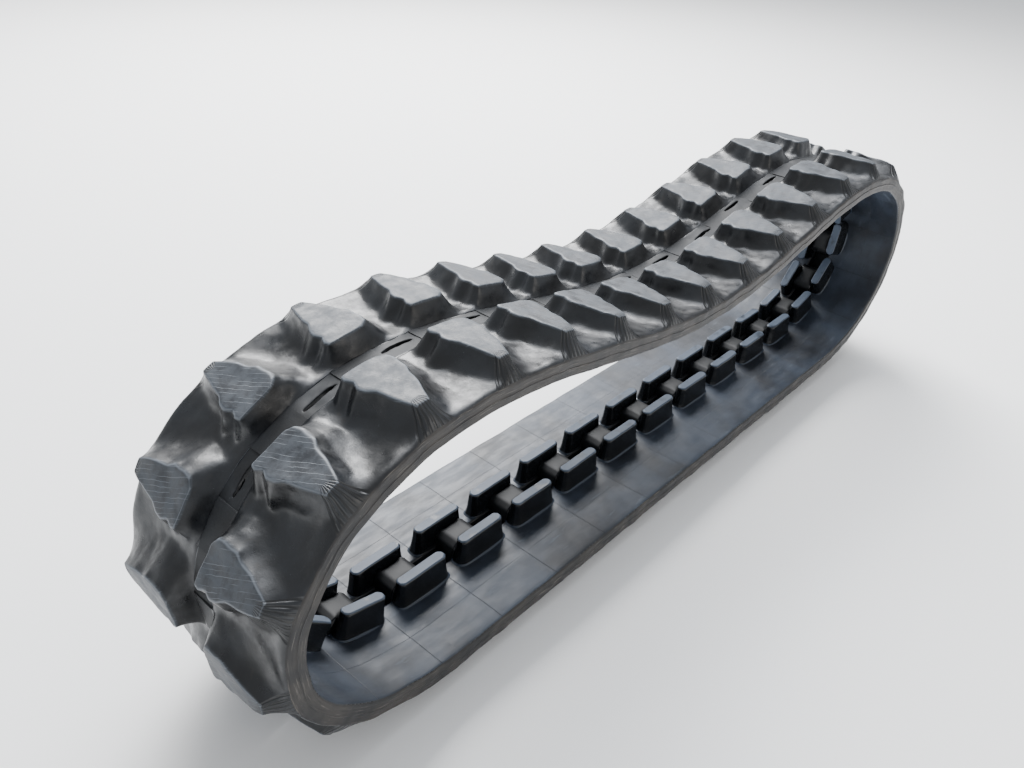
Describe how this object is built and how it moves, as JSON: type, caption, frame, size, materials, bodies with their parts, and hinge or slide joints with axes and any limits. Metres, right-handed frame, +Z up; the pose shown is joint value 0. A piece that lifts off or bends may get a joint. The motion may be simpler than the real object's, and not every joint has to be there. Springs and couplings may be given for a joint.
{
  "type": "rubber track",
  "caption": "Endless moulded rubber track with staggered tread lugs, two rows of guide lugs, iron cores and steel cords, flexing at every pitch.",
  "frame": {"origin": "on the ground plane under the middle of the loop", "axes": "+X along the flat run, +Y across the belt to its left side, +Z up"},
  "size_m": [1.0318, 0.18, 0.288],
  "materials": {
    "rubber": "moulded, slightly glossy black natural rubber",
    "iron": "as cast, dark scale",
    "cord_steel": "drawn and brass plated"
  },
  "bodies": {
    "ground_run": {"ground_belt": "rubber", "ground_cores": "iron", "ground_cords": "cord_steel"},
    "link_11": {"belt_11": "rubber", "core_11": "iron", "cords_11": "cord_steel"},
    "link_12": {"belt_12": "rubber", "core_12": "iron", "cords_12": "cord_steel"},
    "link_13": {"belt_13": "rubber", "core_13": "iron", "cords_13": "cord_steel"},
    "link_14": {"belt_14": "rubber", "core_14": "iron", "cords_14": "cord_steel"},
    "link_15": {"belt_15": "rubber", "core_15": "iron", "cords_15": "cord_steel"},
    "link_16": {"belt_16": "rubber", "core_16": "iron", "cords_16": "cord_steel"},
    "link_17": {"belt_17": "rubber", "core_17": "iron", "cords_17": "cord_steel"},
    "link_18": {"belt_18": "rubber", "core_18": "iron", "cords_18": "cord_steel"},
    "link_19": {"belt_19": "rubber", "core_19": "iron", "cords_19": "cord_steel"},
    "link_20": {"belt_20": "rubber", "core_20": "iron", "cords_20": "cord_steel"},
    "link_21": {"belt_21": "rubber", "core_21": "iron", "cords_21": "cord_steel"},
    "link_22": {"belt_22": "rubber", "core_22": "iron", "cords_22": "cord_steel"},
    "link_23": {"belt_23": "rubber", "core_23": "iron", "cords_23": "cord_steel"},
    "link_24": {"belt_24": "rubber", "core_24": "iron", "cords_24": "cord_steel"},
    "link_25": {"belt_25": "rubber", "core_25": "iron", "cords_25": "cord_steel"},
    "link_26": {"belt_26": "rubber", "core_26": "iron", "cords_26": "cord_steel"},
    "link_27": {"belt_27": "rubber", "core_27": "iron", "cords_27": "cord_steel"},
    "link_28": {"belt_28": "rubber", "core_28": "iron", "cords_28": "cord_steel"},
    "link_29": {"belt_29": "rubber", "core_29": "iron", "cords_29": "cord_steel"}
  },
  "joints": [
    {"name": "flex_11", "type": "hinge", "parent": "ground_run", "child": "link_11", "pos_m": [0.42986, 0, 0.04142], "axis": [0, -1, 0], "range_deg": [-0.51, 0.51], "stiffness_Nm_per_rad": 300, "springref_deg": 0.25},
    {"name": "flex_12", "type": "hinge", "parent": "link_11", "child": "link_12", "pos_m": [0.48337, 0, 0.0896], "axis": [0, -1, 0], "range_deg": [-0.4595, 0.4595], "stiffness_Nm_per_rad": 300, "springref_deg": -0.23},
    {"name": "flex_13", "type": "hinge", "parent": "link_12", "child": "link_13", "pos_m": [0.49339, 0, 0.1609], "axis": [0, -1, 0], "range_deg": [-1.25, 1.25], "stiffness_Nm_per_rad": 300, "springref_deg": -0.61},
    {"name": "flex_14", "type": "hinge", "parent": "link_13", "child": "link_14", "pos_m": [0.45558, 0, 0.22217], "axis": [0, -1, 0], "range_deg": [-1.5, 1.5], "stiffness_Nm_per_rad": 300, "springref_deg": -0.74},
    {"name": "flex_15", "type": "hinge", "parent": "link_14", "child": "link_15", "pos_m": [0.39201, 0, 0.25597], "axis": [0, -1, 0], "range_deg": [-1.24, 1.24], "stiffness_Nm_per_rad": 300, "springref_deg": -0.61},
    {"name": "flex_16", "type": "hinge", "parent": "link_15", "child": "link_16", "pos_m": [0.32054, 0, 0.26475], "axis": [0, -1, 0], "range_deg": [-0.67, 0.67], "stiffness_Nm_per_rad": 300, "springref_deg": -0.33},
    {"name": "flex_17", "type": "hinge", "parent": "link_16", "child": "link_17", "pos_m": [0.24882, 0, 0.25847], "axis": [0, -1, 0], "range_deg": [-0.2375, 0.2375], "stiffness_Nm_per_rad": 300, "springref_deg": -0.12},
    {"name": "flex_18", "type": "hinge", "parent": "link_17", "child": "link_18", "pos_m": [0.17814, 0, 0.24473], "axis": [0, -1, 0], "range_deg": [-0.84, 0.84], "stiffness_Nm_per_rad": 300, "springref_deg": 0.41},
    {"name": "flex_19", "type": "hinge", "parent": "link_18", "child": "link_19", "pos_m": [0.10746, 0, 0.23099], "axis": [0, -1, 0], "range_deg": [-1.63, 1.63], "stiffness_Nm_per_rad": 300, "springref_deg": 0.8},
    {"name": "flex_20", "type": "hinge", "parent": "link_19", "child": "link_20", "pos_m": [0.036, 0, 0.22222], "axis": [0, -1, 0], "range_deg": [-2.38, 2.38], "stiffness_Nm_per_rad": 300, "springref_deg": 1.17},
    {"name": "flex_29", "type": "hinge", "parent": "ground_run", "child": "link_29", "pos_m": [-0.42986, 0, 0.04142], "axis": [0, -1, 0], "range_deg": [-0.51, 0.51], "stiffness_Nm_per_rad": 300, "springref_deg": -0.25},
    {"name": "flex_28", "type": "hinge", "parent": "link_29", "child": "link_28", "pos_m": [-0.48337, 0, 0.0896], "axis": [0, -1, 0], "range_deg": [-0.4595, 0.4595], "stiffness_Nm_per_rad": 300, "springref_deg": 0.23},
    {"name": "flex_27", "type": "hinge", "parent": "link_28", "child": "link_27", "pos_m": [-0.49339, 0, 0.1609], "axis": [0, -1, 0], "range_deg": [-1.25, 1.25], "stiffness_Nm_per_rad": 300, "springref_deg": 0.61},
    {"name": "flex_26", "type": "hinge", "parent": "link_27", "child": "link_26", "pos_m": [-0.45558, 0, 0.22217], "axis": [0, -1, 0], "range_deg": [-1.5, 1.5], "stiffness_Nm_per_rad": 300, "springref_deg": 0.74},
    {"name": "flex_25", "type": "hinge", "parent": "link_26", "child": "link_25", "pos_m": [-0.39201, 0, 0.25597], "axis": [0, -1, 0], "range_deg": [-1.24, 1.24], "stiffness_Nm_per_rad": 300, "springref_deg": 0.61},
    {"name": "flex_24", "type": "hinge", "parent": "link_25", "child": "link_24", "pos_m": [-0.32054, 0, 0.26475], "axis": [0, -1, 0], "range_deg": [-0.67, 0.67], "stiffness_Nm_per_rad": 300, "springref_deg": 0.33},
    {"name": "flex_23", "type": "hinge", "parent": "link_24", "child": "link_23", "pos_m": [-0.24882, 0, 0.25847], "axis": [0, -1, 0], "range_deg": [-0.2375, 0.2375], "stiffness_Nm_per_rad": 300, "springref_deg": 0.12},
    {"name": "flex_22", "type": "hinge", "parent": "link_23", "child": "link_22", "pos_m": [-0.17814, 0, 0.24473], "axis": [0, -1, 0], "range_deg": [-0.84, 0.84], "stiffness_Nm_per_rad": 300, "springref_deg": -0.41},
    {"name": "flex_21", "type": "hinge", "parent": "link_22", "child": "link_21", "pos_m": [-0.10746, 0, 0.23099], "axis": [0, -1, 0], "range_deg": [-1.63, 1.63], "stiffness_Nm_per_rad": 300, "springref_deg": -0.8}
  ],
  "couplings": [
    {"joint": "flex_11", "follows": "flex_14", "ratio": -0.338},
    {"joint": "flex_12", "follows": "flex_14", "ratio": 0.306},
    {"joint": "flex_13", "follows": "flex_14", "ratio": 0.833},
    {"joint": "flex_15", "follows": "flex_14", "ratio": 0.829},
    {"joint": "flex_16", "follows": "flex_14", "ratio": 0.446},
    {"joint": "flex_17", "follows": "flex_14", "ratio": 0.158},
    {"joint": "flex_18", "follows": "flex_14", "ratio": -0.562},
    {"joint": "flex_19", "follows": "flex_14", "ratio": -1.087},
    {"joint": "flex_20", "follows": "flex_14", "ratio": -1.585},
    {"joint": "flex_29", "follows": "flex_14", "ratio": 0.338},
    {"joint": "flex_28", "follows": "flex_14", "ratio": -0.306},
    {"joint": "flex_27", "follows": "flex_14", "ratio": -0.833},
    {"joint": "flex_26", "follows": "flex_14", "ratio": -1},
    {"joint": "flex_25", "follows": "flex_14", "ratio": -0.829},
    {"joint": "flex_24", "follows": "flex_14", "ratio": -0.446},
    {"joint": "flex_23", "follows": "flex_14", "ratio": -0.158},
    {"joint": "flex_22", "follows": "flex_14", "ratio": 0.562},
    {"joint": "flex_21", "follows": "flex_14", "ratio": 1.087}
  ]
}
